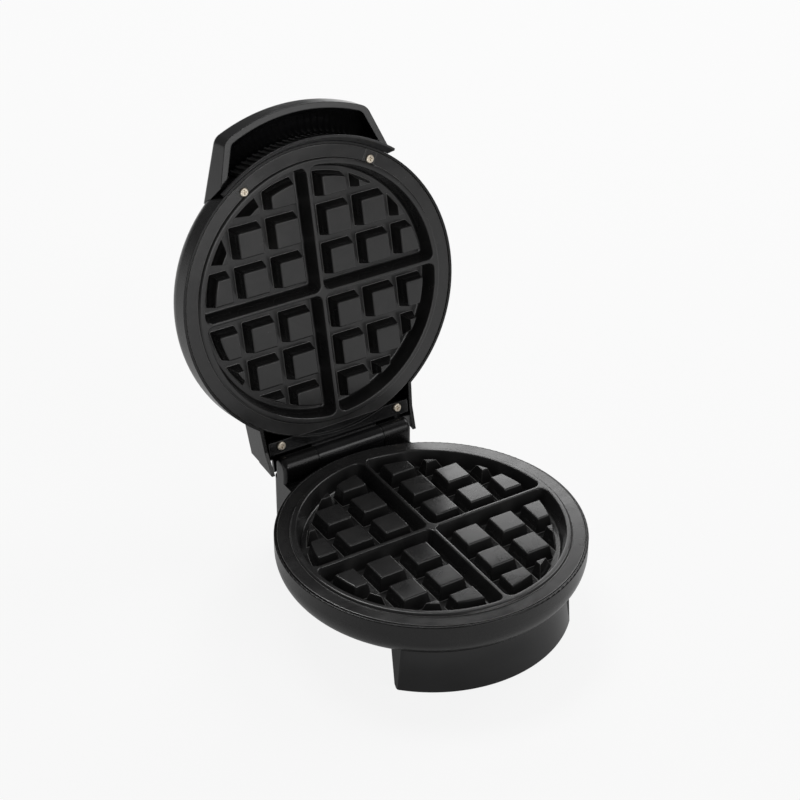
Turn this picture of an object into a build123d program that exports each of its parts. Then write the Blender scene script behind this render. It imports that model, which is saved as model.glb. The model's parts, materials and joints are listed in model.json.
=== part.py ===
from build123d import *
import math
import os

# Belgian waffle maker, lid standing open on its hinge.
# Everything is built about the middle of the cooking plates: z = 0 is the parting plane
# where the two plates meet, -y is the handle side and +y is the hinge side. The lid is
# built closed, is turned open about the hinge pin, and the whole is then set on the floor.

# Overall form
parting_height = 61.0
rim_radius = 101.5
shell_wall = 2.5
lid_open_angle = 102.0
hinge_y = 110.8
hinge_z = -1.6

# Fits
flat_gap = 0.3
fit_gap = 0.1
pin_gap = 0.05
plate_gap = 0.4

# Cooking plates
cavity_radius = 87.0
cavity_depth = 12.0
plate_metal = 3.0
wall_draft = 14.0
bead_width = 4.0
bead_round = 1.4
flange_radius = 99.5
flange_drop = 2.0
flange_metal = 1.8
divider_width = 2.2
corner_radius = 5.0
post_first = 10.4
post_width = 17.4
post_pitch = 27.0
post_drop = 1.6
post_draft = 11.0
post_limit_radius = 78.5
post_rows = 3
post_edge = 0.5
post_least = 4.0
chord_distance = 94.5

# Heating
element_radius = 58.0
element_tube = 3.3
element_open_angle = 50.0
element_pin_radius = 1.6
element_pin_length = 12.0
element_cradle_width = 12.0
stud_radius = 4.0
stud_circle = 72.0
stud_length = 8.0
reflector_metal = 0.8
reflector_radius = 79.0
reflector_lip = 4.0
lead_hole_radius = 4.0
lead_hole_x = 24.0
lead_hole_y = 50.0
screw_shank = 1.5
screw_head = 3.0
screw_head_height = 1.8
screw_head_round = 0.8
screw_recess_depth = 1.0
screw_recess_length = 3.2
screw_recess_width = 0.7

# Base bowl
rim_drop = 2.5
rim_round = 0.8
ledge_width = 6.0
ledge_height = 2.2
bowl_turn_depth = 12.0
bowl_turn_radius = 20.0
bowl_turn_angle = 60.0
bowl_depth = 46.0
cover_overlap = 1.5
cover_metal = 2.0
vent_width = 3.0
vent_length = 26.0
vent_pitch = 9.0
vent_count = 5
boss_radius = 3.6
boss_height = 9.0
boss_arm_rise = 3.0
cover_screw_circle = 54.0

# Rear block that carries the hinge
block_half_width = 50.0
block_front = 70.0
block_rear = 121.5
deck_drop = 12.5
block_corner = 5.0
foot_pad_margin = 5.0
block_floor_clear = 2.0
foot_pad_radius = 7.0

# Hinge
knuckle_radius = 7.0
knuckle_round = 3.0
centre_knuckle_width = 51.0
centre_knuckle_offset = 2.5
knuckle_gap = 0.4
pin_radius = 2.5
pin_end_margin = 4.0
pin_chamfer = 0.5
tongue_reach = 6.5
tongue_drop = 5.5
frame_metal = 2.5
frame_rise = 8.6
frame_reach = 7.0
frame_inner_y = 93.5
frame_front_half_width = 54.5

# Front foot
foot_radius = 93.0
foot_top_radius = 89.0
foot_top_drop = 24.0
foot_half_angle = 45.0
foot_wall = 3.0
foot_shelf = 12.0
foot_return_low = 4.0
foot_return_slope = 0.28
foot_return_corner = 2.0
foot_lift = 0.6
front_pad_angle = 28.0

# Lid cover
lid_rim_rise = 1.6
lid_turn_height = 13.0
lid_turn_radius = 16.0
lid_turn_angle = 75.0
box_half_width_front = 61.0
box_half_width_rear = 57.0
box_front = 60.0
box_height = 24.0
box_rear_low = 113.0
box_rear_high = 106.0
fin_reach = 115.5
fin_drop = 2.0
fin_root = 14.0

# Handle
hood_radius = 126.0
hood_half_width = 52.5
hood_root_half_width = 66.5
hood_root_y = -74.0
hood_top = 26.0
hood_low_front = 9.0
hood_low_root = 2.4
hood_end_y = -87.0
hood_end_lean = 0.76
hood_wall = 4.0
hood_edge = 5.0
hood_corner = 9.0
pocket_height = 20.0
pocket_side_y = -88.0
pocket_turn = 20.0
pocket_turn_rise = 3.5
pocket_turn_back = 7.0
liner_height = 17.0
liner_top = 1.2
liner_waist = 1.9
liner_waist_height = 6.0
liner_low = 1.8
liner_half_angle = 28.0
lip_radius = 106.5
lip_drop = 3.5
lip_edge = 1.4
lip_edge_drop = 0.8
lip_top = 2.3
lip_half_angle = 37.0
rib_count = 22
rib_height = 1.0
rib_width = 1.5

# Small parts
lens_radius = 5.0
lens_spacing = 20.0
lens_y = -62.0
lens_proud = 0.8
lens_round = 0.7
lamp_radius = 3.0
lamp_length = 6.0
lamp_round = 2.0
lamp_gap = 0.5
lens_drop = 3.0
holder_depth = 10.0
holder_height = 3.0
thermostat_radius = 9.0
thermostat_height = 6.0
thermostat_tab = 4.0
thermostat_tab_width = 6.0
thermostat_tab_metal = 0.8
thermostat_neck = 3.0
thermostat_boss_radius = 10.0
thermostat_neck_radius = 7.0
fuse_radius = 2.4
fuse_length = 12.0
fuse_y = 30.0
fuse_wire_radius = 0.5
fuse_wire_length = 8.0
block_terminal_length = 26.0
block_terminal_width = 15.0
block_terminal_height = 12.0
terminal_y = 88.0
terminal_screw_radius = 2.2
terminal_wire_radius = 2.0
terminal_bore_depth = 4.0
terminal_wire_height = 5.0
gland_radius = 6.0
gland_flange = 8.5
gland_bore = 3.6
gland_height = 30.0

# Places worked out from the sizes above
floor_z = -parting_height
ridge_top = plate_gap / 2
back_rise = cavity_depth + plate_metal
flange_seat = flange_drop + flange_metal
rim_bore = flange_radius + flat_gap
reflector_rise = back_rise + stud_length
front_screw_radius = (cavity_radius + bead_width + flange_radius) / 2 - 1.5
front_screw_angle = 30.0
rear_screw_x = 45.5
rear_screw_y = 97.0
centre_knuckle_low = centre_knuckle_offset - centre_knuckle_width / 2
centre_knuckle_high = centre_knuckle_offset + centre_knuckle_width / 2
frame_half_width = block_half_width - flat_gap
frame_shelf = hinge_z + frame_rise + 1.5
box_window = frame_shelf + frame_metal + flat_gap
hinge_axis = Axis((0, hinge_y, hinge_z), (1, 0, 0))


def disc(radius, low, high):
    """Solid disc about the z axis between two heights."""
    return Pos(0, 0, low) * extrude(Circle(radius), high - low)


def rod(radius, start, end):
    """Round bar from one point to another."""
    way = Vector(*end) - Vector(*start)
    return Plane(origin=start, z_dir=way) * extrude(Circle(radius), way.length)


def block(x_low, x_high, y_low, y_high, z_low, z_high):
    """Rectangular block between its six faces."""
    centre = Pos((x_low + x_high) / 2, (y_low + y_high) / 2, (z_low + z_high) / 2)
    return centre * Box(x_high - x_low, y_high - y_low, z_high - z_low)


def turned(*edges):
    """Solid of revolution from a closed outline of edges in the x-z plane."""
    return revolve(make_face(Curve() + list(edges)), Axis.Z)


def wedge(half_angle, reach, low, high):
    """Sector about the -y direction, used to cut a ring down to an arc."""
    tip = (0, 0)
    angle = math.radians(half_angle)
    left = (-reach * math.sin(angle), -reach * math.cos(angle))
    right = (reach * math.sin(angle), -reach * math.cos(angle))
    outline = Polyline(tip, left, (left[0], -2 * reach), (right[0], -2 * reach), right, tip)
    return Pos(0, 0, low) * extrude(make_face(outline), high - low)


def side_profile(points, x_low, x_high):
    """Prism along x from an outline of (y, z) points."""
    outline = Polyline(*[(0, y, z) for y, z in points], close=True)
    return Pos(x_low, 0, 0) * extrude(make_face(outline), x_high - x_low, dir=(1, 0, 0))


def diagonal_places(radius):
    """Four points on the diagonals at a radius."""
    share = radius * math.sqrt(0.5)
    return [(share, share), (-share, share), (-share, -share), (share, -share)]


def upside(part):
    """Mirror a base piece across the parting plane into a lid piece."""
    return mirror(part, Plane.XY)


# Grid plates. The lower plate is built here and the upper one mirrors it.


def quadrant_pocket(sx, sy):
    """One quarter of the batter cavity, with rounded corners and drafted walls."""
    half = divider_width / 2
    size = cavity_radius
    window = Pos(sx * (half + size / 2), sy * (half + size / 2)) * Rectangle(size, size)
    outline = Circle(cavity_radius) & window
    outline = fillet(outline.vertices(), corner_radius)
    depth = cavity_depth - ridge_top
    return Pos(0, 0, -ridge_top) * extrude(outline, -depth, taper=wall_draft)


def post(x, y):
    """One waffle post standing on the cavity floor, narrower at the top, its top edge broken."""
    top = -post_drop
    height = cavity_depth - post_drop
    spread = height * math.tan(math.radians(post_draft))
    outline = Pos(x, y) * Rectangle(post_width + 2 * spread, post_width + 2 * spread)
    body = Pos(0, 0, -cavity_depth) * extrude(outline, height, taper=post_draft)
    body = chamfer(body.faces().sort_by(Axis.Z)[-1].edges(), post_edge)
    corners = [
        (0, 0, -cavity_depth),
        (post_limit_radius + spread, 0, -cavity_depth),
        (post_limit_radius + post_edge * math.tan(math.radians(post_draft)), 0, top - post_edge),
        (post_limit_radius - post_edge, 0, top),
        (0, 0, top),
    ]
    return body & turned(*[Line(corners[i - 1], corners[i]) for i in range(len(corners))])


def plate_posts():
    """Posts of all four quarters; those past the round wall are left off."""
    posts = []
    places = [post_first + post_width / 2 + i * post_pitch for i in range(post_rows)]
    for px in places:
        for py in places:
            near = math.hypot(px - post_width / 2, py - post_width / 2)
            if near > post_limit_radius - post_least:
                continue
            for sx in (-1, 1):
                for sy in (-1, 1):
                    posts.append(post(sx * px, sy * py))
    return posts


def cooking_plate(chord):
    """Cast plate: flange, sealing bead, four drafted quarters, posts and back bosses."""
    bead_outer = cavity_radius + bead_width
    body = disc(flange_radius, -flange_seat, -flange_drop)
    body += disc(bead_outer, -flange_seat, -ridge_top)
    body += disc(cavity_radius + plate_metal - 1, -back_rise, -flange_drop)
    body = fillet(body.faces().sort_by(Axis.Z)[-1].edges(), bead_round)
    cradle = disc(element_radius + element_cradle_width / 2, -back_rise - element_tube, -back_rise)
    cradle -= disc(element_radius - element_cradle_width / 2, -back_rise - element_tube - 1, 0)
    body += cradle
    for x, y in diagonal_places(stud_circle):
        stud = rod(stud_radius, (x, y, -reflector_rise), (x, y, -back_rise + 1))
        stud -= rod(screw_shank, (x, y, -reflector_rise - 1), (x, y, -back_rise - 1))
        body += stud
    body += disc(thermostat_boss_radius, -reflector_rise, -back_rise)
    tunnel = Pos(0, 0, -back_rise - element_tube) * Torus(element_radius, element_tube + fit_gap)
    body -= tunnel
    for sx in (-1, 1):
        for sy in (-1, 1):
            body -= quadrant_pocket(sx, sy)
    for piece in plate_posts():
        body += piece
    if chord:
        body -= block(-60, 60, chord_distance, 120, -back_rise - 10, 10)
    return body


def screw(x, y, z, up, length):
    """Cross-recess pan-head screw whose head seats at z, with the head towards up."""
    head = rod(screw_head, (x, y, z), (x, y, z + up * screw_head_height))
    far = head.faces().sort_by(Axis.Z)[-1 if up > 0 else 0]
    head = fillet(far.edges(), screw_head_round)
    recess = Pos(x, y, z + up * (screw_head_height - screw_recess_depth / 2))
    head -= recess * Box(screw_recess_length, screw_recess_width, screw_recess_depth + 0.02)
    head -= recess * Box(screw_recess_width, screw_recess_length, screw_recess_depth + 0.02)
    return head + rod(screw_shank - fit_gap, (x, y, z), (x, y, z - up * length))


def heating_element():
    """Open ring of sheathed tube under the plate with its two cold pins to the rear."""
    start = 90 + element_open_angle / 2
    z = -back_rise - element_tube
    path = Pos(0, 0, z) * CenterArc((0, 0), element_radius, start, 360 - element_open_angle)
    ring = sweep(Plane(origin=path @ 0, z_dir=path % 0) * Circle(element_tube), path)
    pins = []
    for angle, way in ((start, 1), (start - element_open_angle, -1)):
        x = element_radius * math.cos(math.radians(angle))
        y = element_radius * math.sin(math.radians(angle))
        tx = math.sin(math.radians(angle)) * way
        ty = -math.cos(math.radians(angle)) * way
        end = (x + tx * element_pin_length, y + ty * element_pin_length, z)
        pins.append(rod(element_pin_radius, (x, y, z), end))
    return ring + pins[0] + pins[1]


def reflector():
    """Pressed aluminium tray that throws the heat back at the plate."""
    low = -reflector_rise - reflector_metal
    tray = disc(reflector_radius, low, -reflector_rise)
    rim = disc(reflector_radius, -reflector_rise, -reflector_rise + reflector_lip)
    rim -= disc(reflector_radius - reflector_metal, -reflector_rise - 1, 0)
    tray += rim
    tray -= disc(thermostat_neck_radius, low - 1, 0)
    for x, y in diagonal_places(stud_circle):
        tray -= rod(screw_shank + fit_gap, (x, y, low - 1), (x, y, 0))
    for sx in (-1, 1):
        x = sx * lead_hole_x
        tray -= rod(lead_hole_radius, (x, lead_hole_y, low - 1), (x, lead_hole_y, 0))
    return tray


def reflector_screws():
    """Four screws up through the tray into the plate's studs."""
    places = []
    for x, y in diagonal_places(stud_circle):
        places.append(screw(x, y, -reflector_rise - reflector_metal, -1, stud_length - 2))
    return Compound(children=places)


# Base housing


def bowl_solid(inset, low):
    """The bowl's round body, drawn in by inset, from the rim down to a flat at low."""
    radius = rim_radius - inset
    turn = bowl_turn_radius - inset
    centre = rim_radius - bowl_turn_radius
    angle = math.radians(bowl_turn_angle)
    top = -rim_drop if inset == 0 else 1
    mid = (centre + turn * math.cos(angle / 2), 0, -bowl_turn_depth - turn * math.sin(angle / 2))
    end = (centre + turn * math.cos(angle), 0, -bowl_turn_depth - turn * math.sin(angle))
    run = (end[2] - low) * math.tan(angle)
    last = (end[0] - run, 0, low)
    return turned(
        Line((0, 0, top), (radius, 0, top)),
        Line((radius, 0, top), (radius, 0, -bowl_turn_depth)),
        ThreePointArc((radius, 0, -bowl_turn_depth), mid, end),
        Line(end, last),
        Line(last, (0, 0, low)),
        Line((0, 0, low), (0, 0, top)),
    )


def bowl_opening():
    """Inside radius of the bowl at its open bottom."""
    angle = math.radians(bowl_turn_angle)
    turn = bowl_turn_radius - shell_wall
    radius = rim_radius - bowl_turn_radius + turn * math.cos(angle)
    height = -bowl_turn_depth - turn * math.sin(angle)
    return radius - (height + bowl_depth) * math.tan(angle)


def rear_block(inset):
    """Block behind the bowl, as wide as the hinge, from the deck nearly to the floor."""
    low = floor_z + block_floor_clear + inset
    solid = block(
        -block_half_width + inset,
        block_half_width - inset,
        block_front + inset,
        block_rear - inset,
        low,
        -deck_drop - inset,
    )
    upright = solid.edges().filter_by(Axis.Z).group_by(Axis.Y)[-1]
    return fillet(upright, block_corner - inset if inset < block_corner - 1 else 1)


def base_knuckle(x_low, x_high, outer_end):
    """Fixed hinge knuckle on a foot that stands on the deck, its free end rounded."""
    barrel = rod(knuckle_radius, (x_low, hinge_y, hinge_z), (x_high, hinge_y, hinge_z))
    foot = block(
        x_low,
        x_high,
        hinge_y - knuckle_radius,
        hinge_y + knuckle_radius,
        -deck_drop - 1,
        hinge_z,
    )
    knuckle = barrel + foot
    ends = knuckle.faces().sort_by(Axis.X)
    end = ends[0] if outer_end < 0 else ends[-1]
    return fillet(end.edges().filter_by(GeomType.CIRCLE), knuckle_round)


def make_base_housing():
    """Bowl, rear block and the two fixed knuckles in one moulding."""
    shell = bowl_solid(0, -bowl_depth) + rear_block(0)
    shell -= bowl_solid(shell_wall, -bowl_depth - 1)
    shell -= rear_block(shell_wall)
    ledge = disc(rim_radius - 1, -flange_seat - ledge_height, -flange_seat)
    ledge -= disc(rim_bore - ledge_width, -flange_seat - ledge_height - 1, 0)
    shell += ledge
    shell -= disc(rim_bore, -flange_seat, 1)
    for x, y in diagonal_places(cover_screw_circle):
        boss = rod(boss_radius, (x, y, -bowl_depth), (x, y, -bowl_depth + boss_height))
        reach = (bowl_opening() + boss_arm_rise) / cover_screw_circle
        arm_z = -bowl_depth + boss_arm_rise
        arm = rod(boss_radius - 1, (x, y, arm_z), (reach * x, reach * y, arm_z))
        boss = boss + (arm & bowl_solid(0, -bowl_depth))
        boss -= rod(screw_shank, (x, y, -bowl_depth - 1), (x, y, -bowl_depth + boss_height - 2))
        shell += boss
    shell += base_knuckle(-block_half_width, centre_knuckle_low - knuckle_gap, -1)
    shell += base_knuckle(centre_knuckle_high + knuckle_gap, block_half_width, 1)
    end = block_half_width - pin_end_margin + fit_gap
    shell -= rod(pin_radius + pin_gap, (-end, hinge_y, hinge_z), (end, hinge_y, hinge_z))
    wall_y = block_rear - shell_wall
    hole_z = floor_z + gland_height
    shell -= rod(gland_radius + fit_gap, (0, wall_y - 1, hole_z), (0, block_rear + 1, hole_z))
    rim = shell.edges().filter_by(GeomType.CIRCLE)
    rim = rim.filter_by_position(Axis.Z, -rim_drop - 0.01, -rim_drop + 0.01).sort_by(SortBy.RADIUS)[-1:]
    return fillet(rim, rim_round)


def make_bottom_cover():
    """Flat cover under the bowl with its screw holes and a row of vents."""
    radius = bowl_opening() + cover_overlap
    cover = disc(radius, -bowl_depth - cover_metal, -bowl_depth)
    for i in range(vent_count):
        x = (i - (vent_count - 1) / 2) * vent_pitch
        slot = Pos(x, 0, 0) * Rot(0, 0, 90) * SlotOverall(vent_length, vent_width)
        cover -= Pos(0, 0, -bowl_depth - cover_metal - 1) * extrude(slot, cover_metal + 2)
    for x, y in diagonal_places(cover_screw_circle):
        hole = rod(screw_shank + fit_gap, (x, y, -bowl_depth - cover_metal - 1), (x, y, 0))
        cover -= hole
    return cover


def make_cover_screws():
    """Four screws that hold the bottom cover."""
    screws = []
    for x, y in diagonal_places(cover_screw_circle):
        screws.append(screw(x, y, -bowl_depth - cover_metal, -1, boss_height - 1))
    return Compound(children=screws)


def make_front_foot():
    """Curved skirt under the front of the bowl, wider at the floor, with a pad shelf."""
    low = floor_z + foot_lift
    high = -foot_top_drop
    outer = [(foot_radius, low), (foot_top_radius, high)]
    inner = [(foot_top_radius - foot_wall, high), (foot_radius - foot_wall, low + foot_wall)]
    shelf = [(foot_radius - foot_shelf, low + foot_wall), (foot_radius - foot_shelf, low)]
    corners = [(r, 0, z) for r, z in outer + inner + shelf]
    edges = [Line(corners[i], corners[(i + 1) % len(corners)]) for i in range(len(corners))]
    skirt = turned(*edges)
    skirt = skirt & wedge(foot_half_angle, foot_radius * 1.5, low - 1, high + 1)
    for side in (-1, 1):
        skirt += foot_return(side, low, high)
    skirt -= bowl_solid(0, -bowl_depth)
    return skirt


def foot_return(side, low, high):
    """Short end wall that turns back from the skirt, deeper at its top."""
    share = math.sin(math.radians(foot_half_angle))
    x_low = foot_radius * share
    x_high = foot_top_radius * share
    y_end = -foot_radius * math.cos(math.radians(foot_half_angle))
    outline = Polyline(
        (side * x_low, y_end, low),
        (side * x_high, y_end, high),
        (side * (x_high - foot_wall), y_end, high),
        (side * (x_low - foot_wall), y_end, low),
        close=True,
    )
    wall = extrude(make_face(outline), 3 * foot_shelf, dir=(0, 1, 0))
    deep = foot_return_low + (high - low) * foot_return_slope
    shape = [
        (y_end, low),
        (y_end + foot_return_low - foot_return_corner, low),
        (y_end + foot_return_low, low + foot_return_corner),
        (y_end + deep, high),
        (y_end, high),
    ]
    return wall & side_profile(shape, -foot_radius, foot_radius)


def make_front_pads():
    """Two rubber pads under the foot's shelf."""
    pads = []
    radius = foot_radius - foot_shelf / 2
    for side in (-1, 1):
        angle = math.radians(front_pad_angle) * side
        x = radius * math.sin(angle)
        y = -radius * math.cos(angle)
        pads.append(rod(foot_shelf / 2 - 1, (x, y, floor_z), (x, y, floor_z + foot_lift)))
    return Compound(children=pads)


def make_rear_pads():
    """Two rubber pads under the rear block."""
    pads = []
    for side in (-1, 1):
        x = side * (block_half_width - foot_pad_radius - foot_pad_margin)
        y = block_rear - foot_pad_radius - foot_pad_margin
        pads.append(rod(foot_pad_radius, (x, y, floor_z), (x, y, floor_z + block_floor_clear)))
    return Compound(children=pads)


def make_hinge_pin():
    """Steel rod through all three knuckles."""
    end = block_half_width - pin_end_margin
    pin = rod(pin_radius, (-end, hinge_y, hinge_z), (end, hinge_y, hinge_z))
    return chamfer(pin.edges().filter_by(GeomType.CIRCLE), pin_chamfer)


def make_thermostat():
    """Disc thermostat against the plate's centre boss, with its two tabs."""
    top = -reflector_rise - fit_gap
    shoulder = top - thermostat_neck
    base = shoulder - thermostat_height
    body = disc(thermostat_neck_radius - fit_gap, shoulder, top)
    body += disc(thermostat_radius, base, shoulder)
    for side in (-1, 1):
        x = side * thermostat_radius / 2
        half = thermostat_tab_width / 2
        metal = thermostat_tab_metal / 2
        body += block(x - half, x + half, -metal, metal, base - thermostat_tab, shoulder)
    return body


def make_thermal_fuse():
    """Cut-out fuse clipped under the reflector."""
    z = -reflector_rise - reflector_metal - fuse_radius - fit_gap
    half = fuse_length / 2
    end = half + fuse_wire_length
    barrel = rod(fuse_radius, (-half, fuse_y, z), (half, fuse_y, z))
    return barrel + rod(fuse_wire_radius, (-end, fuse_y, z), (end, fuse_y, z))


def make_terminal_block():
    """Three-way terminal block on the rear block's floor."""
    low = floor_z + block_floor_clear + shell_wall
    half = block_terminal_length / 2
    width = block_terminal_width / 2
    body = block(-half, half, terminal_y - width, terminal_y + width, low, low + block_terminal_height)
    for i in (-1, 0, 1):
        x = i * block_terminal_length / 3
        top = low + block_terminal_height
        deep = top - terminal_bore_depth
        body -= rod(terminal_screw_radius, (x, terminal_y, deep), (x, terminal_y, top + 1))
        z = low + terminal_wire_height
        for way in (-1, 1):
            face = terminal_y + way * width
            inside = face - way * terminal_bore_depth
            body -= rod(terminal_wire_radius, (x, inside, z), (x, face + way, z))
    return body


def make_cord_gland():
    """Moulded inlet bush in the rear wall."""
    z = floor_z + gland_height
    inner = block_rear - shell_wall
    gland = rod(gland_radius, (0, inner - 4, z), (0, block_rear + 1, z))
    gland += rod(gland_flange, (0, block_rear, z), (0, block_rear + 3, z))
    gland += rod(gland_flange - 1, (0, inner - 4, z), (0, inner, z))
    gland -= rod(gland_bore, (0, inner - 5, z), (0, block_rear + 4, z))
    return gland


# Lid, built closed


def lid_solid(inset, low):
    """The lid's round body, drawn in by inset: upright wall, shoulder and low crown."""
    radius = rim_radius - inset
    turn = lid_turn_radius - inset
    centre = rim_radius - lid_turn_radius
    angle = math.radians(lid_turn_angle)
    mid = (centre + turn * math.cos(angle / 2), 0, lid_turn_height + turn * math.sin(angle / 2))
    end = (centre + turn * math.cos(angle), 0, lid_turn_height + turn * math.sin(angle))
    slope = (math.pi / 2 - angle)
    crown_radius = end[0] / math.sin(slope)
    apex = end[2] + crown_radius * (1 - math.cos(slope))
    half_x = crown_radius * math.sin(slope / 2)
    half_z = apex - crown_radius * (1 - math.cos(slope / 2))
    return turned(
        Line((0, 0, low), (radius, 0, low)),
        Line((radius, 0, low), (radius, 0, lid_turn_height)),
        ThreePointArc((radius, 0, lid_turn_height), mid, end),
        ThreePointArc(end, (half_x, 0, half_z), (0, 0, apex)),
        Line((0, 0, apex), (0, 0, low)),
    )


def lid_height(radius, inset):
    """Height of the lid's crown surface at a radius."""
    angle = math.radians(lid_turn_angle)
    turn = lid_turn_radius - inset
    end_r = rim_radius - lid_turn_radius + turn * math.cos(angle)
    end_z = lid_turn_height + turn * math.sin(angle)
    slope = math.pi / 2 - angle
    crown_radius = end_r / math.sin(slope)
    apex = end_z + crown_radius * (1 - math.cos(slope))
    return apex - crown_radius + math.sqrt(crown_radius ** 2 - radius ** 2)


def rear_box_prism(inset):
    """Plan of the box behind the lid's round body as an upright prism."""
    front = box_half_width_front - inset
    rear = box_half_width_rear - inset
    corners = [(-front, box_front), (front, box_front), (rear, fin_reach), (-rear, fin_reach)]
    return Pos(0, 0, -30) * extrude(make_face(Polyline(*corners, close=True)), 90)


def rear_box(inset, low):
    """Box behind the lid's round body whose sides draw in towards the hinge."""
    slope = (box_rear_low - box_rear_high) / (box_height - lid_rim_rise)
    top = box_height - inset
    rear_top = box_rear_high + slope * inset - inset
    rear_low = rear_top + slope * (top - low)
    side = [(box_front, low), (rear_low, low), (rear_top, top), (box_front, top)]
    return side_profile(side, -80, 80) & rear_box_prism(inset)


def rear_fins():
    """Side panels of the box carried down past the hinge line to a point."""
    side = [
        (box_rear_low - fin_root, lid_rim_rise),
        (fin_reach, -fin_drop),
        (box_rear_low - 3, box_window + 3),
        (box_rear_low - fin_root, box_window + 3),
    ]
    return side_profile(side, -80, 80) & (rear_box_prism(0) - rear_box_prism(shell_wall))


def lens_places():
    """Centres of the two lamp lenses on the lid's crown."""
    return [(-lens_spacing / 2, lens_y), (lens_spacing / 2, lens_y)]


def make_lid_cover():
    """Crowned lid with its rear box, side fins and the ledge that the plate sits on."""
    cover = lid_solid(0, lid_rim_rise) + rear_box(0, lid_rim_rise)
    cover -= lid_solid(shell_wall, lid_rim_rise - 1)
    cover -= rear_box(shell_wall, lid_rim_rise - 1)
    cover += rear_fins()
    window = block(-80, 80, hinge_y - 10, fin_reach + 5, -20, box_window)
    window = window & rear_box_prism(shell_wall)
    cover -= window
    ledge = disc(rim_radius - 1, flange_seat, flange_seat + ledge_height)
    ledge -= disc(rim_bore - ledge_width, 0, flange_seat + ledge_height + 1)
    ledge -= block(-80, 80, frame_inner_y - 1, 130, 0, 10)
    cover += ledge
    cover -= disc(rim_bore, 0, flange_seat)
    for x, y in lens_places():
        cover -= rod(lens_radius + fit_gap, (x, y, 20), (x, y, 60))
    for x, y in front_screw_places():
        cover -= rod(screw_shank, (x, y, flange_seat - 1), (x, y, flange_seat + ledge_height + 1))
    return cover


def make_hinge_frame():
    """Plate behind the cooking plate that carries the centre knuckle and its stop tongue."""
    half = frame_half_width
    low = lid_rim_rise
    step = hinge_y - knuckle_radius - 1
    rise = frame_shelf
    rear = hinge_y + frame_reach
    side = [
        (frame_inner_y, low),
        (step, low),
        (step, rise),
        (rear, rise),
        (rear, rise + frame_metal),
        (step - frame_metal, rise + frame_metal),
        (step - frame_metal, low + frame_metal),
        (frame_inner_y, low + frame_metal),
    ]
    frame = side_profile(side, -half, half)
    front = frame_front_half_width
    frame += block(-front, front, frame_inner_y, step, low, low + frame_metal)
    frame -= disc(rim_bore, low - 5, flange_seat)
    web_front = step - frame_metal
    web_top = rise + frame_metal
    web = block(centre_knuckle_low, centre_knuckle_high, web_front, hinge_y, low, web_top)
    start = (centre_knuckle_low, hinge_y, hinge_z)
    barrel = rod(knuckle_radius, start, (centre_knuckle_high, hinge_y, hinge_z))
    tongue = side_profile(
        [
            (hinge_y - 1, hinge_z + knuckle_radius - 1),
            (hinge_y + knuckle_radius, hinge_z),
            (hinge_y + tongue_reach, hinge_z - tongue_drop),
            (hinge_y, hinge_z - tongue_drop),
        ],
        centre_knuckle_low,
        centre_knuckle_high,
    )
    frame += web + barrel + tongue
    bore = rod(pin_radius + pin_gap, (-half - 1, hinge_y, hinge_z), (half + 1, hinge_y, hinge_z))
    frame -= bore
    for side_x in (-1, 1):
        x = side_x * rear_screw_x
        frame -= rod(screw_shank, (x, rear_screw_y, low - 1), (x, rear_screw_y, low + frame_metal + 1))
    return frame


def hood_plan(inset):
    """Plan of the handle as an upright prism: a wide arc between two straight cheeks."""
    radius = hood_radius - inset
    front = hood_half_width - inset
    root = hood_root_half_width - inset
    edge_y = -math.sqrt(radius ** 2 - front ** 2)
    outline = Curve() + [
        Line((-root, hood_root_y), (-front, edge_y)),
        ThreePointArc((-front, edge_y), (0, -radius), (front, edge_y)),
        Line((front, edge_y), (root, hood_root_y)),
        Line((root, hood_root_y), (-root, hood_root_y)),
    ]
    face = make_face(outline)
    corners = face.vertices().sort_by(Axis.Y)[:2]
    return fillet(corners, hood_corner - inset)


def make_lid_handle():
    """Hooded handle on the front of the lid, hollow underneath for the fingers."""
    hood = extrude(hood_plan(0), hood_top)
    far = hood.faces().sort_by(Axis.Z)[-1]
    front_edges = far.edges().sort_by(Axis.Y)[:-1]
    hood = fillet(front_edges, hood_edge)
    outer = hood_radius - hood_wall
    inner = outer - pocket_turn
    middle = (outer - pocket_turn_back, 0, pocket_height - pocket_turn_rise)
    pocket = turned(
        Line((0, 0, -5), (outer, 0, -5)),
        Line((outer, 0, -5), (outer, 0, hood_low_front)),
        ThreePointArc((outer, 0, hood_low_front), middle, (inner, 0, pocket_height)),
        Line((inner, 0, pocket_height), (0, 0, pocket_height)),
        Line((0, 0, pocket_height), (0, 0, -5)),
    )
    pocket = pocket & (Pos(0, 0, -5) * extrude(hood_plan(hood_wall), 60))
    hood -= pocket & block(-90, 90, -hood_radius, pocket_side_y, -10, hood_top)
    below = [
        (0, -10),
        (0, hood_low_root),
        (hood_end_y, hood_low_root),
        (-hood_radius, hood_low_front),
        (-hood_radius - 20, hood_low_front + 3),
        (-hood_radius - 20, -10),
    ]
    hood -= side_profile(below, -90, 90)
    far_y = hood_end_y + (hood_top + 5 - hood_low_root) * hood_end_lean
    behind = [(hood_end_y, 0), (hood_end_y, hood_low_root), (far_y, hood_top + 5), (0, hood_top + 5), (0, 0)]
    hood -= side_profile(behind, -90, 90)
    return hood - lid_solid(-fit_gap, -5)


def liner_ring(swell):
    """Whole ring with the grip's section: a hollow wall that runs out into the finger lip."""
    inner = rim_radius + fit_gap
    top = (inner + liner_top + swell, 0, liner_height)
    waist = (inner + liner_waist + swell, 0, liner_waist_height)
    tip = (lip_radius, 0, -lip_drop)
    edge = (lip_radius - lip_edge, 0, -lip_drop - lip_edge_drop)
    return turned(
        Line((inner, 0, liner_low), (inner, 0, liner_height)),
        Line((inner, 0, liner_height), top),
        ThreePointArc(top, waist, tip),
        Line(tip, edge),
        Line(edge, (inner, 0, liner_low)),
    )


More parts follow.
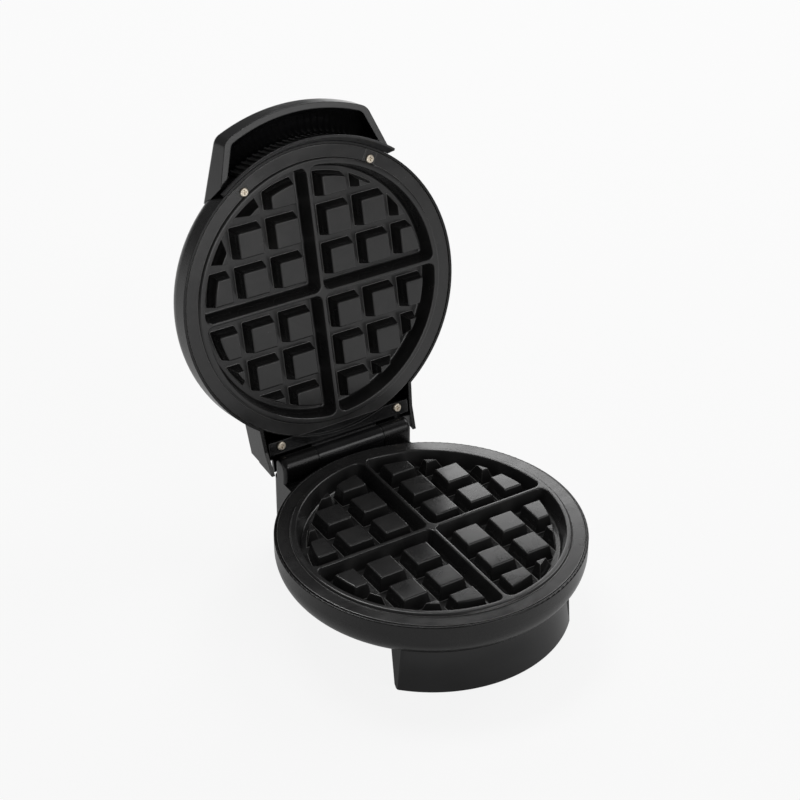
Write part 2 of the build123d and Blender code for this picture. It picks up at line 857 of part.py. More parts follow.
def make_grip_liner():
    """Ribbed insert on the lid's front wall, ending in a lip under the fingers."""
    low = -lip_drop - lip_edge_drop - 1
    ring = liner_ring(0)
    liner = ring & wedge(liner_half_angle, 200, low, liner_height + 1)
    liner += ring & wedge(lip_half_angle, 200, low, lip_top)
    half = rib_width / 2
    bars = []
    for i in range(rib_count):
        share = i / (rib_count - 1) * 2 - 1
        angle = share * (liner_half_angle - 1)
        bar = block(-half, half, -lip_radius - 1, -rim_radius, -lip_drop + 0.5, liner_height)
        bars.append(Rot(0, 0, angle) * bar)
    ribbed = liner_ring(rib_height) & Compound(children=bars)
    return liner + ribbed


def front_screw_places():
    """Centres of the two screws beside the handle."""
    angle = math.radians(front_screw_angle)
    x = front_screw_radius * math.sin(angle)
    y = -front_screw_radius * math.cos(angle)
    return [(-x, y), (x, y)]


def make_front_plate_screws():
    """Two screws through the upper plate's flange beside the handle."""
    length = flange_metal + ledge_height + 3
    return [screw(x, y, flange_drop, -1, length) for x, y in front_screw_places()]


def make_frame_screws():
    """Two screws through the hinge frame into the lid."""
    screws = []
    for side in (-1, 1):
        screws.append(screw(side * rear_screw_x, rear_screw_y, lid_rim_rise, -1, frame_metal + 6))
    return screws


def make_lens(place):
    """Domed lamp lens that stands a little proud of the crown."""
    x, y = place
    top = lid_height(math.hypot(x, y), 0) + lens_proud
    lens = rod(lens_radius, (x, y, top - shell_wall - lens_drop), (x, y, top))
    return fillet(lens.faces().sort_by(Axis.Z)[-1].edges(), lens_round)


def make_lamp_holder():
    """Clip under the lenses with the two neon lamps."""
    top = lid_height(math.hypot(lens_spacing / 2, lens_y), 0) + lens_proud - shell_wall - lens_drop
    half = lens_spacing / 2 + lens_radius + 2
    near = lens_y - holder_depth / 2
    holder = block(-half, half, near, near + holder_depth, top - holder_height, top)
    for x, y in lens_places():
        holder -= rod(lamp_radius + fit_gap, (x, y, top - 10), (x, y, top + 1))
    return holder


def make_lamps():
    """Two neon lamps standing in the holder."""
    top = lid_height(math.hypot(lens_spacing / 2, lens_y), 0) + lens_proud - shell_wall - lens_drop
    lamps = []
    for x, y in lens_places():
        lamp = rod(lamp_radius, (x, y, top - lamp_length), (x, y, top - lamp_gap))
        lamps.append(fillet(lamp.faces().sort_by(Axis.Z)[-1].edges(), lamp_round))
    return lamps


lower_plate = cooking_plate(False)
upper_plate = upside(cooking_plate(True))
for plate_screw in make_front_plate_screws():
    upper_plate -= plate_screw

base_pieces = {
    "base_housing": make_base_housing(),
    "base_bottom_cover": make_bottom_cover(),
    "bottom_cover_screws": make_cover_screws(),
    "front_foot": make_front_foot(),
    "front_rubber_pads": make_front_pads(),
    "rear_rubber_pads": make_rear_pads(),
    "lower_cooking_plate": lower_plate,
    "lower_heating_element": heating_element(),
    "lower_heat_reflector": reflector(),
    "lower_reflector_screws": reflector_screws(),
    "thermostat": make_thermostat(),
    "thermal_fuse": make_thermal_fuse(),
    "terminal_block": make_terminal_block(),
    "cord_gland": make_cord_gland(),
    "hinge_pin": make_hinge_pin(),
}

lid_pieces = {
    "lid_cover": make_lid_cover(),
    "hinge_frame": make_hinge_frame(),
    "lid_handle": make_lid_handle(),
    "grip_liner": make_grip_liner(),
    "upper_cooking_plate": upper_plate,
    "upper_heating_element": upside(heating_element()),
    "upper_heat_reflector": upside(reflector()),
    "upper_reflector_screws": upside(reflector_screws()),
    "front_plate_screws": Compound(children=make_front_plate_screws()),
    "hinge_frame_screws": Compound(children=make_frame_screws()),
    "power_lens": make_lens(lens_places()[0]),
    "ready_lens": make_lens(lens_places()[1]),
    "lamp_holder": make_lamp_holder(),
    "neon_lamps": Compound(children=make_lamps()),
}

pieces = dict(base_pieces)
for name, piece in lid_pieces.items():
    pieces[name] = piece.rotate(hinge_axis, -lid_open_angle)

# The origin is on the floor under the middle of the open product's outer box
boxes = [piece.bounding_box() for piece in pieces.values()]
middle_y = (min(box.min.Y for box in boxes) + max(box.max.Y for box in boxes)) / 2
to_floor = Pos(0, -middle_y, parting_height)

os.makedirs("parts", exist_ok=True)
for name, piece in pieces.items():
    export_step(to_floor * piece, f"parts/{name}.step")
print("middle_y", round(middle_y, 4))
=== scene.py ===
import json
from math import acos, asin, atan2, cos, hypot, pi, radians, sin, sqrt, tan

import bpy
import bmesh
from mathutils import Matrix, Vector


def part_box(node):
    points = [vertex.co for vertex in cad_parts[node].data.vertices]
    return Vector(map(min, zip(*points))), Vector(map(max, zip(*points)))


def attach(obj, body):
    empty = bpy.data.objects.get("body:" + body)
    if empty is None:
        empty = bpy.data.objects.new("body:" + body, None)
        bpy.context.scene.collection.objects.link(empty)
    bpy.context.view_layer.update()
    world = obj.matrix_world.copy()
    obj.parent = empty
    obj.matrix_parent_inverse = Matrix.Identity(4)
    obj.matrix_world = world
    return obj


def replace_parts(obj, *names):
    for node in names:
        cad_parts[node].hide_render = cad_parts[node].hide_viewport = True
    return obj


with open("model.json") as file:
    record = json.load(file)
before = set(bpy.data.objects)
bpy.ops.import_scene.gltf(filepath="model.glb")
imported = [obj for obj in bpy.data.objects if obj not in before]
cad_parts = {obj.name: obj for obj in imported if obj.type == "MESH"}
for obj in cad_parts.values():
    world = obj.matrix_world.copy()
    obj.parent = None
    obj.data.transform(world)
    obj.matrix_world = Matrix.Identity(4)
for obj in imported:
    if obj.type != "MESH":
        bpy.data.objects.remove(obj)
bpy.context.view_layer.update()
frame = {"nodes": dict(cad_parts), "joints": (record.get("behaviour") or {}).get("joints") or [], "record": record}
bpy.context.scene.view_settings.view_transform = "Standard"
print("frame loaded:", len(frame["nodes"]), "pieces")


# finishes

normalLean = 0.994  # cosine below which a normal leans off its own face


class Nodes:
    # a material's node tree, with short calls for the nodes that every finish needs
    def __init__(self, name):
        self.material = bpy.data.materials.new(name)
        self.material.use_nodes = True
        self.tree = self.material.node_tree
        self.shader = self.tree.nodes["Principled BSDF"]
        self.place = self.tree.nodes.new("ShaderNodeTexCoord").outputs["Object"]

    def link(self, a, b):
        self.tree.links.new(a, b)

    def stretch(self, scale, turn=(0, 0, 0)):
        mapping = self.tree.nodes.new("ShaderNodeMapping")
        mapping.inputs["Scale"].default_value = scale
        mapping.inputs["Rotation"].default_value = turn
        self.link(self.place, mapping.inputs["Vector"])
        return mapping.outputs["Vector"]

    def noise(self, scale, detail=4, roughness=0.55, vector=None, distortion=0):
        noise = self.tree.nodes.new("ShaderNodeTexNoise")
        noise.inputs["Scale"].default_value = scale
        noise.inputs["Detail"].default_value = detail
        noise.inputs["Roughness"].default_value = roughness
        noise.inputs["Distortion"].default_value = distortion
        self.link(vector or self.place, noise.inputs["Vector"])
        return noise.outputs["Fac"]

    def cells(self, scale):
        cells = self.tree.nodes.new("ShaderNodeTexVoronoi")
        cells.inputs["Scale"].default_value = scale
        self.link(self.place, cells.inputs["Vector"])
        return cells.outputs["Distance"]

    def fit(self, value, low, high, fromLow=0.3, fromHigh=0.7):
        span = self.tree.nodes.new("ShaderNodeMapRange")
        span.inputs["From Min"].default_value = fromLow
        span.inputs["From Max"].default_value = fromHigh
        span.inputs["To Min"].default_value = low
        span.inputs["To Max"].default_value = high
        self.link(value, span.inputs["Value"])
        return span.outputs["Result"]

    def join(self, operation, a, b):
        node = self.tree.nodes.new("ShaderNodeMath")
        node.operation = operation
        for socket, value in zip(node.inputs, (a, b)):
            if isinstance(value, (int, float)):
                socket.default_value = value
            else:
                self.link(value, socket)
        return node.outputs["Value"]

    def blendColour(self, factor, first, second):
        mix = self.tree.nodes.new("ShaderNodeMix")
        mix.data_type = "RGBA"
        self.link(factor, mix.inputs[0])
        for socket, value in ((mix.inputs[6], first), (mix.inputs[7], second)):
            if isinstance(value, tuple):
                socket.default_value = (*value, 1)
            else:
                self.link(value, socket)
        return mix.outputs[2]

    def shape(self):
        return self.tree.nodes.new("ShaderNodeNewGeometry").outputs

    def edgeNormal(self, radius, samples):
        edge = self.tree.nodes.new("ShaderNodeBevel")
        edge.samples = samples
        edge.inputs["Radius"].default_value = radius
        return edge.outputs["Normal"]

    def likeness(self, first, second):
        # cosine of the angle between two normals
        dot = self.tree.nodes.new("ShaderNodeVectorMath")
        dot.operation = "DOT_PRODUCT"
        self.link(first, dot.inputs[0])
        self.link(second, dot.inputs[1])
        return dot.outputs["Value"]

    def rounded(self, radius):
        # small round edges; where a normal leans off its own face, the face's takes its place
        shape = self.shape()
        pick = self.tree.nodes.new("ShaderNodeMix")
        pick.data_type = "VECTOR"
        likeness = self.likeness(shape["Normal"], shape["True Normal"])
        self.link(self.join("LESS_THAN", likeness, normalLean), pick.inputs[0])
        self.link(self.edgeNormal(radius, 6), pick.inputs[4])
        self.link(shape["True Normal"], pick.inputs[5])
        return pick.outputs[1]

    def edgeWearAndHighlight(self, radius):
        # share of the light edge colour, partly rubbing wear and partly painted highlight, where the rounded
        # normal leaves the plain one
        likeness = self.likeness(self.edgeNormal(radius, 8), self.shape()["Normal"])
        return self.fit(likeness, 0, 1, 0.997, 0.95)

    def bump(self, height, depth, strength=1.0, under=None):
        bump = self.tree.nodes.new("ShaderNodeBump")
        bump.inputs["Distance"].default_value = depth
        bump.inputs["Strength"].default_value = strength
        self.link(height, bump.inputs["Height"])
        if under is not None:
            self.link(under, bump.inputs["Normal"])
        return bump.outputs["Normal"]


# each finish: colour of the clean and of the worn share, how rough it runs, and how fine patches and grain are
finishes = {
    "bowlBlack": dict(colour=(0.0062, 0.0060, 0.0062), worn=(0.014, 0.0137, 0.0137), rough=(0.22, 0.30),
                      patch=26, grain=1500, grainDepth=0.000018, specular=0.42, edge=0.0006),
    "housingBlack": dict(colour=(0.0065, 0.0065, 0.007), worn=(0.014, 0.014, 0.015), rough=(0.10, 0.19),
                         patch=22, grain=420, grainDepth=0.00001, specular=0.5, edge=0.0007),
    # the ribbed liner's black is raised to several times the housing's: painted light on ribs that sit in shade
    # under the hood
    "ribbedBlackPaintedLight": dict(colour=(0.040, 0.040, 0.041), worn=(0.056, 0.056, 0.057), rough=(0.24, 0.34),
                        patch=60, grain=900, grainDepth=0.00001, specular=0.65, edge=0.0004),
    "rubberBlack": dict(colour=(0.022, 0.022, 0.023), worn=(0.05, 0.049, 0.047), rough=(0.72, 0.9),
                        patch=90, grain=2200, grainDepth=0.00005, specular=0.3, edge=0.0005),
    "innerPlastic": dict(colour=(0.62, 0.59, 0.52), worn=(0.48, 0.43, 0.35), rough=(0.42, 0.6),
                         patch=70, grain=1300, grainDepth=0.00003, specular=0.5, edge=0.0004),
}


def plasticFinish(name, colour, worn, rough, patch, grain, grainDepth, specular, edge):
    n = Nodes(name)
    patches = n.noise(patch, 5, 0.62, distortion=0.6)
    fine = n.noise(grain, 3, 0.5)
    hairlines = n.noise(34, 3, 0.7, n.stretch((1, 26, 3), (0.3, 0.5, 0.8)))
    n.link(n.blendColour(n.fit(patches, 0, 1, 0.42, 0.78), colour, worn), n.shader.inputs["Base Color"])
    level = n.join("ADD", n.fit(patches, rough[0], rough[1]), n.fit(hairlines, 0, 0.05, 0.56, 0.75))
    n.link(n.join("ADD", level, n.fit(fine, -0.015, 0.02)), n.shader.inputs["Roughness"])
    waves = n.bump(n.noise(9, 2, 0.4), 0.0005, 0.35, n.rounded(edge))  # slow sink marks of a moulded wall
    n.link(n.bump(fine, grainDepth, 0.8, waves), n.shader.inputs["Normal"])
    n.shader.inputs["Specular IOR Level"].default_value = specular
    return n.material


# specks are the coat's fine mineral grains; the rim colour along the edges is partly rubbing wear and partly a
# painted highlight
castSurface = dict(colour=(0.026, 0.0257, 0.0260), worn=(0.038, 0.0372, 0.0365), speck=(0.07, 0.07, 0.071),
                   rimWearAndHighlight=(0.25, 0.247, 0.242), rough=(0.13, 0.22), patch=34, grain=1700, specks=2600,
                   grainDepth=0.00001, specular=0.6, edge=0.0006)


def castFinish(name, colour, worn, speck, rimWearAndHighlight, rough, patch, grain, specks, grainDepth, specular, edge):
    # baked non-stick coat on cast aluminium: satin, slightly orange-peeled, with fine mineral specks
    n = Nodes(name)
    patches = n.noise(patch, 6, 0.6, distortion=0.8)
    peel = n.noise(grain, 2, 0.45)
    wipe = n.noise(14, 5, 0.65, n.stretch((1, 5, 5), (0, 0, 0.6)))
    flakes = n.fit(n.cells(specks), 1, 0, 0.06, 0.16)
    ground = n.blendColour(n.fit(patches, 0, 1, 0.4, 0.8), colour, worn)
    speckled = n.join("MULTIPLY", flakes, n.fit(patches, 0.1, 0.6))
    coat = n.blendColour(speckled, ground, speck)
    # edges take the light rim colour: partly rubbing wear, partly a painted highlight
    n.link(n.blendColour(n.edgeWearAndHighlight(edge), coat, rimWearAndHighlight), n.shader.inputs["Base Color"])
    level = n.join("ADD", n.fit(patches, rough[0], rough[1]), n.fit(wipe, -0.03, 0.07))
    n.link(n.join("ADD", level, n.fit(peel, -0.02, 0.03)), n.shader.inputs["Roughness"])
    waves = n.bump(n.noise(60, 3), 0.00006, 0.3, n.rounded(edge))
    n.link(n.bump(peel, grainDepth, 0.7, waves), n.shader.inputs["Normal"])
    n.shader.inputs["Specular IOR Level"].default_value = specular
    return n.material


metals = {
    "zincScrew": dict(colour=(0.80, 0.72, 0.60), worn=(0.46, 0.40, 0.32), rough=(0.24, 0.44),
                      patch=300, lines=(1, 1, 9)),
    "pinSteel": dict(colour=(0.62, 0.62, 0.61), worn=(0.36, 0.35, 0.34), rough=(0.18, 0.36),
                     patch=120, lines=(40, 1, 1)),
    "reflectorSheet": dict(colour=(0.8, 0.8, 0.79), worn=(0.58, 0.55, 0.5), rough=(0.22, 0.4),
                           patch=30, lines=(1, 30, 1)),
    "elementSheath": dict(colour=(0.20, 0.19, 0.185), worn=(0.30, 0.22, 0.16), rough=(0.38, 0.6),
                          patch=45, lines=(1, 1, 6)),
}


def metalFinish(name, colour, worn, rough, patch, lines):
    n = Nodes(name)
    patches = n.noise(patch, 5, 0.65, distortion=1.2)
    drawn = n.noise(420, 3, 0.6, n.stretch(lines))
    n.link(n.blendColour(n.fit(patches, 0, 1, 0.45, 0.8), colour, worn), n.shader.inputs["Base Color"])
    level = n.join("ADD", n.fit(patches, rough[0], rough[1]), n.fit(drawn, -0.04, 0.06))
    n.link(level, n.shader.inputs["Roughness"])
    n.link(n.bump(drawn, 0.00003, 0.5), n.shader.inputs["Normal"])
    n.shader.inputs["Metallic"].default_value = 1.0
    return n.material


clearParts = {
    "lensRed": dict(colour=(0.72, 0.03, 0.02), rough=(0.08, 0.16), through=0.75),
    "lensGreen": dict(colour=(0.05, 0.5, 0.14), rough=(0.08, 0.16), through=0.75),
    "lampGlass": dict(colour=(0.93, 0.88, 0.82), rough=(0.02, 0.07), through=0.95),
}


def clearFinish(name, colour, rough, through):
    n = Nodes(name)
    clouds = n.noise(180, 3)
    dimmed = tuple(0.6 * part for part in colour)
    n.link(n.blendColour(n.fit(clouds, 0, 1), colour, dimmed), n.shader.inputs["Base Color"])
    n.link(n.fit(clouds, rough[0], rough[1]), n.shader.inputs["Roughness"])
    n.link(n.bump(n.noise(700, 2), 0.00002, 0.4), n.shader.inputs["Normal"])
    n.shader.inputs["Transmission Weight"].default_value = through
    return n.material


paints = {name: plasticFinish(name, **values) for name, values in finishes.items()}
paints["castCoat"] = castFinish("castCoat", **castSurface)
paints.update({name: metalFinish(name, **values) for name, values in metals.items()})
paints.update({name: clearFinish(name, **values) for name, values in clearParts.items()})

slotPaint = {
    "housing_black": "housingBlack",
    "bowl_black": "bowlBlack",
    "cast_plate": "castCoat",
    "element_sheath": "elementSheath",
    "reflector_sheet": "reflectorSheet",
    "zinc_screw": "zincScrew",
    "rubber_pad": "rubberBlack",
    "pin_steel": "pinSteel",
    "inner_plastic": "innerPlastic",
    "ribbed_black": "ribbedBlackPaintedLight",
    "lens_red": "lensRed",
    "lens_green": "lensGreen",
    "lamp_glass": "lampGlass",
}
nodeSlot = {part["node"]: part["material_slot"] for part in frame["record"]["subparts"]}


def paint(piece, name):
    piece.data.materials.clear()
    piece.data.materials.append(paints[name])


for name, node in frame["nodes"].items():
    paint(node, slotPaint[nodeSlot[name]])
print("finishes given to", len(frame["nodes"]), "pieces")


# cooking plates, drawn closed about the parting plane and then put in place

hinge = frame["joints"][0]
lowest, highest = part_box("lower_cooking_plate")
beadTop = 0.0002  # the two plates stand this far off the parting plane
partingPlace = Vector((0, (lowest.y + highest.y) / 2, highest.z + beadTop))
hingePlace = Vector(hinge["pos_m"])
lidTurn = radians(hinge["range_deg"][1])
sharpAngle = 35  # edges steeper than this, in degrees, stay sharp


def openLid(piece):
    # from the closed place to the open one that the frame shows at rest
    bmesh.ops.rotate(piece, cent=hingePlace, matrix=Matrix.Rotation(-lidTurn, 3, "X"), verts=piece.verts)


def finishPiece(name, piece, paintName, body):
    mesh = bpy.data.meshes.new(name)
    piece.to_mesh(mesh)
    piece.free()
    mesh.shade_smooth()
    mesh.set_sharp_from_angle(angle=radians(sharpAngle))
    thing = bpy.data.objects.new(name, mesh)
    bpy.context.collection.objects.link(thing)
    mesh.materials.append(paints[paintName])
    flats = thing.modifiers.new("flats", "WEIGHTED_NORMAL")
    flats.keep_sharp = True
    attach(thing, body)
    return thing


def arc(middle, radius, start, end, steps):
    turns = [start + (end - start) * i / steps for i in range(steps + 1)]
    return [(middle[0] + radius * cos(t), middle[1] + radius * sin(t)) for t in turns]


def outlineFace(piece, points, height, sx=1, sy=1):
    order = points if sx * sy > 0 else points[::-1]
    face = piece.faces.new([piece.verts.new((sx * x, sy * y, height)) for x, y in order])
    face.normal_update()
    return face


def roundSteps(radius, start, end, count):
    # pairs of inset and depth that follow a round edge between two slopes
    turns = [start + (end - start) * i / count for i in range(count + 1)]
    return [(radius * abs(sin(b) - sin(a)), radius * abs(cos(b) - cos(a)))
            for a, b in zip(turns, turns[1:])]


plateShape = dict(cavityRadius=0.087, cavityDepth=0.012, draft=14, divider=0.0022, corner=0.005,
                  lipRound=0.0008, floorRound=0.0014)
beadShape = dict(outer=0.091, rounding=0.0014, flange=0.0995, drop=0.002, metal=0.0018, backRadius=0.0885,
                 back=0.015)
postShape = dict(first=0.0191, pitch=0.027, rows=3, width=0.0174, drop=0.0016, draft=11, limit=0.0785,
                 least=0.0745, rounding=0.0009, sunk=0.0003, cornerTurn=30)


def quarterOutline(cavityRadius, divider, corner, ease):
    # one quarter of the cavity: two straight dividers, the round wall and three round corners
    half, radius, r = divider / 2 - ease, cavityRadius + ease, corner + ease
    near = half + r
    far = sqrt((radius - r) ** 2 - near ** 2)
    tilt = atan2(near, far)
    return (arc((near, near), r, pi, 1.5 * pi, 7) + arc((far, near), r, 1.5 * pi, 2 * pi + tilt, 8)
            + arc((0, 0), radius, tilt, pi / 2 - tilt, 44)[1:-1] + arc((near, far), r, pi / 2 - tilt, pi, 8))


def cutQuarters(piece, outerEdges, cavityRadius, cavityDepth, draft, divider, corner, lipRound, floorRound):
    slope = radians(90 - draft)
    ease = lipRound * tan(slope / 2)
    outline = quarterOutline(cavityRadius, divider, corner, ease)
    floors = [outlineFace(piece, outline, -beadTop, sx, sy) for sx in (-1, 1) for sy in (-1, 1)]
    rims = [edge for face in floors for edge in face.edges]
    bmesh.ops.triangle_fill(piece, use_beauty=True, edges=outerEdges + rims, normal=(0, 0, 1))
    wall = cavityDepth - beadTop - (lipRound + floorRound) * (1 - cos(slope))
    steps = roundSteps(lipRound, 0, slope, 4)
    steps += [(wall / tan(slope), wall)] + roundSteps(floorRound, slope, 0, 4)
    for face in floors:
        for inward, sink in steps:
            bmesh.ops.inset_region(piece, faces=[face], thickness=inward, depth=-sink,
                                   use_even_offset=True, use_boundary=True)


def postOutline(x, y, half, limit):
    x0, x1, y0, y1 = x - half, x + half, y - half, y + half
    rightIn, topIn, farIn = hypot(x1, y0) < limit, hypot(x0, y1) < limit, hypot(x1, y1) < limit
    points = [(x0, y0)]
    if rightIn:
        points.append((x1, y0))
    if farIn:
        points.append((x1, y1))
    else:
        start = acos(x1 / limit) if rightIn else asin(y0 / limit)
        end = asin(y1 / limit) if topIn else acos(x0 / limit)
        points += arc((0, 0), limit, start, end, 8)
    if topIn:
        points.append((x0, y1))
    return points


def grownOutline(points, distance):
    # every side of an outline moves outwards by the same distance
    grown = []
    for i, (x, y) in enumerate(points):
        before = (Vector((x, y)) - Vector(points[i - 1])).normalized()
        after = (Vector(points[(i + 1) % len(points)]) - Vector((x, y))).normalized()
        first, second = Vector((before.y, -before.x)), Vector((after.y, -after.x))
        shift = (first + second) * distance / (1 + first.dot(second))
        grown.append((x + shift.x, y + shift.y))
    return grown


def addPosts(piece, first, pitch, rows, width, drop, draft, limit, least, rounding, sunk, cornerTurn):
    bottom = plateShape["cavityDepth"] + sunk
    spread = (bottom - drop) * tan(radians(draft))
    rowPlaces = [first + i * pitch for i in range(rows)]
    inner = [(x, y) for x in rowPlaces for y in rowPlaces if hypot(x - width / 2, y - width / 2) <= least]
    for x, y in inner:
        outline = postOutline(x, y, width / 2, limit)
        for sx in (-1, 1):
            for sy in (-1, 1):
                top = outlineFace(piece, outline, -drop, sx, sy)
                foot = outlineFace(piece, grownOutline(outline, spread), -bottom, sx, sy)
                bmesh.ops.bridge_loops(piece, edges=list(top.edges) + list(foot.edges))
                foot.normal_flip()
                corners = [edge for vert in top.verts for edge in vert.link_edges
                           if edge not in top.edges[:] and edge.calc_face_angle(0) > radians(cornerTurn)]
                bmesh.ops.bevel(piece, geom=corners + list(top.edges), offset=rounding, segments=4,
                                profile=0.5, affect="EDGES", material=-1, clamp_overlap=True)


def drawOutwards(piece, edges, radius, profile):
    # the bead's outer side, the flange and the back, ring by ring from the top's edge
    height = -beadTop
    for newRadius, newHeight in profile:
        grown = bmesh.ops.extrude_edge_only(piece, edges=edges)["geom"]
        verts = [v for v in grown if isinstance(v, bmesh.types.BMVert)]
        edges = [e for e in grown if isinstance(e, bmesh.types.BMEdge)]
        bmesh.ops.scale(piece, vec=(newRadius / radius, newRadius / radius, 1), verts=verts)
        bmesh.ops.translate(piece, vec=(0, 0, newHeight - height), verts=verts)
        radius, height = newRadius, newHeight
    bmesh.ops.contextual_create(piece, geom=edges)


def gridPlate():
    piece = bmesh.new()
    b = beadShape
    topRadius = b["outer"] - b["rounding"]
    bmesh.ops.create_circle(piece, cap_ends=False, radius=topRadius, segments=176)
    bmesh.ops.translate(piece, vec=(0, 0, -beadTop), verts=piece.verts)
    outerEdges = list(piece.edges)
    cutQuarters(piece, outerEdges, **plateShape)
    side = [(x, z - beadTop - b["rounding"]) for x, z in arc((topRadius, 0), b["rounding"], pi / 2, 0, 6)[1:]]
    foot, lip = b["drop"], b["flange"]
    low = foot + b["metal"]
    side += [(b["outer"] + 0.0001, -foot + 0.0001), (b["outer"] + 0.0003, -foot), (lip - 0.0004, -foot),
             (lip - 0.0001, -foot - 0.0001), (lip, -foot - 0.0004), (lip, -low), (b["backRadius"], -low),
             (b["backRadius"] - 0.001, -b["back"])]
    drawOutwards(piece, outerEdges, topRadius, side)
    addPosts(piece, **postShape)
    return piece


screwPads = dict(radius=0.0953, angle=30, size=(0.0086, 0.0078), rise=0.0007, sunk=0.0001)
rearCut = 0.0945  # the upper plate's flange is cut straight in front of the hinge


def addScrewPads(piece, radius, angle, size, rise, sunk):
    for side in (-1, 1):
        made = bmesh.ops.create_cube(piece, size=1)["verts"]
        bmesh.ops.scale(piece, vec=(size[0], size[1], rise), verts=made)
        bmesh.ops.translate(piece, vec=(0, -radius, rise / 2 - sunk - beadShape["drop"]), verts=made)
        turn = Matrix.Rotation(side * radians(angle), 3, "Z")
        bmesh.ops.rotate(piece, cent=(0, 0, 0), matrix=turn, verts=made)
        edges = list({edge for vert in made for edge in vert.link_edges})
        bmesh.ops.bevel(piece, geom=edges, offset=rise * 0.45, segments=2, profile=0.5,
                        affect="EDGES", material=-1)


def cutFlange(piece, distance):
    geom = list(piece.verts) + list(piece.edges) + list(piece.faces)
    cut = bmesh.ops.bisect_plane(piece, geom=geom, dist=1e-7, plane_co=(0, distance, 0), plane_no=(0, 1, 0),
                                 clear_outer=True)["geom_cut"]
    bmesh.ops.contextual_create(piece, geom=[e for e in cut if isinstance(e, bmesh.types.BMEdge)])


def makePlates():
    lower = gridPlate()
    bmesh.ops.recalc_face_normals(lower, faces=lower.faces)
    bmesh.ops.translate(lower, vec=partingPlace, verts=lower.verts)
    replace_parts(finishPiece("lowerGridPlate", lower, "castCoat", "base"), "lower_cooking_plate")
    upper = gridPlate()
    addScrewPads(upper, **screwPads)
    cutFlange(upper, rearCut)
    bmesh.ops.scale(upper, vec=(1, 1, -1), verts=upper.verts)
    bmesh.ops.recalc_face_normals(upper, faces=upper.faces)
    bmesh.ops.translate(upper, vec=partingPlace, verts=upper.verts)
    openLid(upper)
    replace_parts(finishPiece("upperGridPlate", upper, "castCoat", "lid"), "upper_cooking_plate")


makePlates()
print("grid plates made")


# floor, light and camera

# lift: share of plain white that the camera sees over the lit floor; mirrored: how much of it reflections see
floorLook = dict(size=14.0, colour=(0.86, 0.86, 0.86), lift=0.88, mirrored=0.3)


def makeFloor():
    sheet = bmesh.new()
    bmesh.ops.create_grid(sheet, x_segments=1, y_segments=1, size=floorLook["size"] / 2)
    mesh = bpy.data.meshes.new("floor")
    sheet.to_mesh(mesh)
    sheet.free()
    floor = bpy.data.objects.new("floor", mesh)
    bpy.context.collection.objects.link(floor)
    n = Nodes("floorPaper")
    n.shader.inputs["Base Color"].default_value = (*floorLook["colour"], 1)
    n.shader.inputs["Roughness"].default_value = 0.9
    n.shader.inputs["Specular IOR Level"].default_value = 0.0
    glow = n.tree.nodes.new("ShaderNodeEmission")
    glow.inputs["Color"].default_value = (1, 1, 1, 1)
    glow.inputs["Strength"].default_value = 1.0
    path = n.tree.nodes.new("ShaderNodeLightPath").outputs
    reflected = n.join("MAXIMUM", path["Is Glossy Ray"], path["Is Transmission Ray"])
    seen = n.join("MAXIMUM", path["Is Camera Ray"], n.join("MULTIPLY", reflected, floorLook["mirrored"]))
    mix = n.tree.nodes.new("ShaderNodeMixShader")
    n.link(n.join("MULTIPLY", seen, floorLook["lift"]), mix.inputs[0])
    n.link(n.shader.outputs[0], mix.inputs[1])
    n.link(glow.outputs[0], mix.inputs[2])
    n.link(mix.outputs[0], n.tree.nodes["Material Output"].inputs["Surface"])
    mesh.materials.append(n.material)


def makeWorld(level, reflected):
    world = bpy.data.worlds.new("studio")
    bpy.context.scene.world = world
    world.use_nodes = True
    tree = world.node_tree
    back = tree.nodes["Background"]
    back.inputs["Color"].default_value = (1, 1, 1, 1)
    path = tree.nodes.new("ShaderNodeLightPath").outputs
    pick = tree.nodes.new("ShaderNodeMix")
    pick.data_type = "FLOAT"
    tree.links.new(path["Is Glossy Ray"], pick.inputs[0])
    pick.inputs[2].default_value = level
    pick.inputs[3].default_value = reflected
    top = tree.nodes.new("ShaderNodeMath")
    top.operation = "MAXIMUM"
    tree.links.new(pick.outputs[0], top.inputs[0])
    tree.links.new(path["Is Camera Ray"], top.inputs[1])
    tree.links.new(top.outputs[0], back.inputs["Strength"])


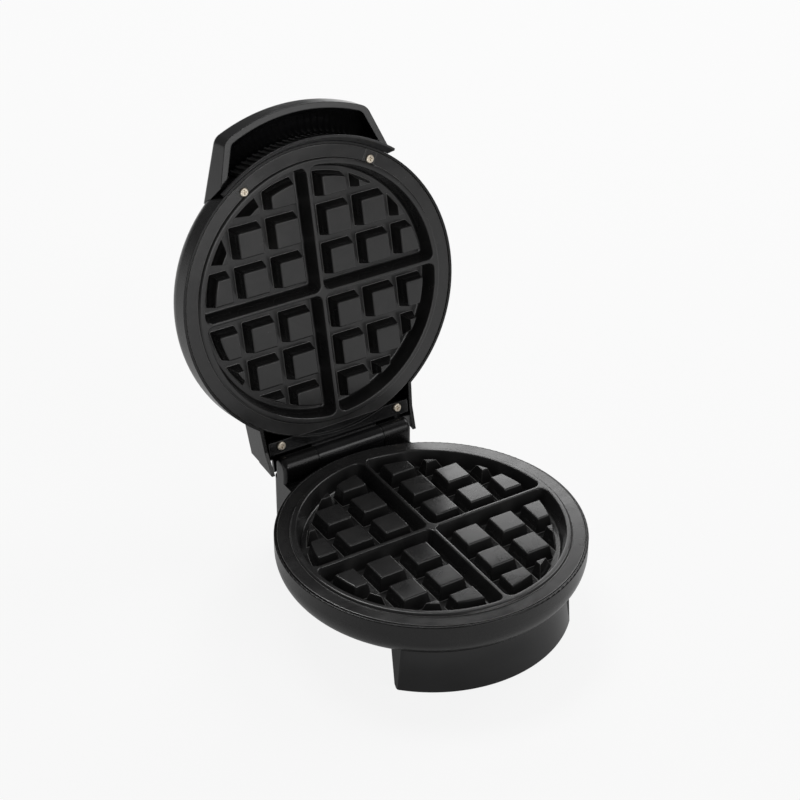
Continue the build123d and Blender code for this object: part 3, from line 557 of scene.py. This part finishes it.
# softboxes: where each stands, what it faces, its size and its power in watts
softboxes = {
    "rearTopBox": dict(place=(0.1, 1.0, 1.9), aim=(0, 0, 0.1), size=(1.0, 0.6), power=14),
    "rightBox": dict(place=(1.5, 0.2, 1.4), aim=(0, 0, 0.1), size=(0.9, 0.9), power=9),
    "backBox": dict(place=(1.1, 1.75, 1.15), aim=(0, 0, 0.1), size=(1.0, 0.7), power=8),
    "frontBox": dict(place=(0.9, -1.9, 1.1), aim=(0, 0, 0.1), size=(1.0, 0.8), power=5),
    "lowBox": dict(place=(0.3, -1.9, 0.35), aim=(0, 0, 0.1), size=(0.9, 0.4), power=4),
}


def addSoftbox(name, place, aim, size, power):
    light = bpy.data.lights.new(name, "AREA")
    light.shape = "RECTANGLE"
    light.size, light.size_y = size
    light.energy = power
    lamp = bpy.data.objects.new(name, light)
    bpy.context.collection.objects.link(lamp)
    lamp.location = place
    lamp.rotation_euler = (Vector(place) - Vector(aim)).to_track_quat("Z", "Y").to_euler()


worldLook = dict(level=0.12, reflected=0.14)

makeFloor()
makeWorld(**worldLook)
for name, values in softboxes.items():
    addSoftbox(name, **values)

# the photograph's view, solved from the plates: angles in degrees, lens and sensor in millimetres
view = dict(place=(-0.5867, -0.9483, 0.8475), azimuth=-31.84, height=32.61, roll=0.25, lens=93.1, sensor=36.0)


def makeCamera(place, azimuth, height, roll, lens, sensor):
    a, e, t = radians(azimuth), radians(height), radians(roll)
    back = Vector((sin(a) * cos(e), -cos(a) * cos(e), sin(e)))
    right = Vector((cos(a), sin(a), 0))
    up = back.cross(right)
    sideways = right * cos(t) + up * sin(t)
    upwards = up * cos(t) - right * sin(t)
    data = bpy.data.cameras.new("camera")
    data.lens = lens
    data.sensor_width = sensor
    camera = bpy.data.objects.new("camera", data)
    bpy.context.collection.objects.link(camera)
    turn = Matrix((sideways, upwards, back)).transposed().to_4x4()
    camera.matrix_world = Matrix.Translation(place) @ turn
    bpy.context.scene.camera = camera


makeCamera(**view)
print("floor, light and camera set")
